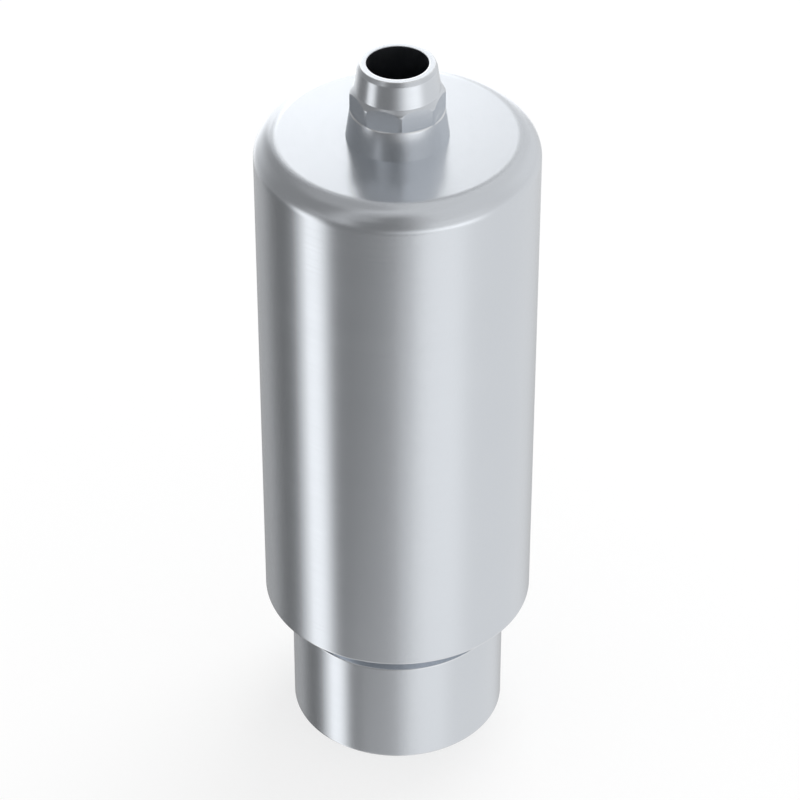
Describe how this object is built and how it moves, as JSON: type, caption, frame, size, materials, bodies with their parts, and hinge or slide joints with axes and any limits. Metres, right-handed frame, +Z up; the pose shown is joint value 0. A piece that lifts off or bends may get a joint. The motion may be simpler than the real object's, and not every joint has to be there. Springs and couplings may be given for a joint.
{
  "type": "premilled dental abutment blank",
  "caption": "Turned titanium blank for milling a dental abutment: cylindrical body, clamping spigot, tapered implant connection with an octagon, and a bored screw channel.",
  "frame": {"origin": "centre of the clamping spigot's foot, which the blank stands on", "axes": "+Z up the turned axis from the spigot's foot to the implant connection; -Y through one corner of the octagon"},
  "size_m": [0.01, 0.01, 0.0284],
  "materials": {
    "titanium": "satin turned titanium alloy, bare, with very fine turning marks round the axis"
  },
  "bodies": {
    "root": {"abutment_blank": "titanium"}
  },
  "joints": []
}
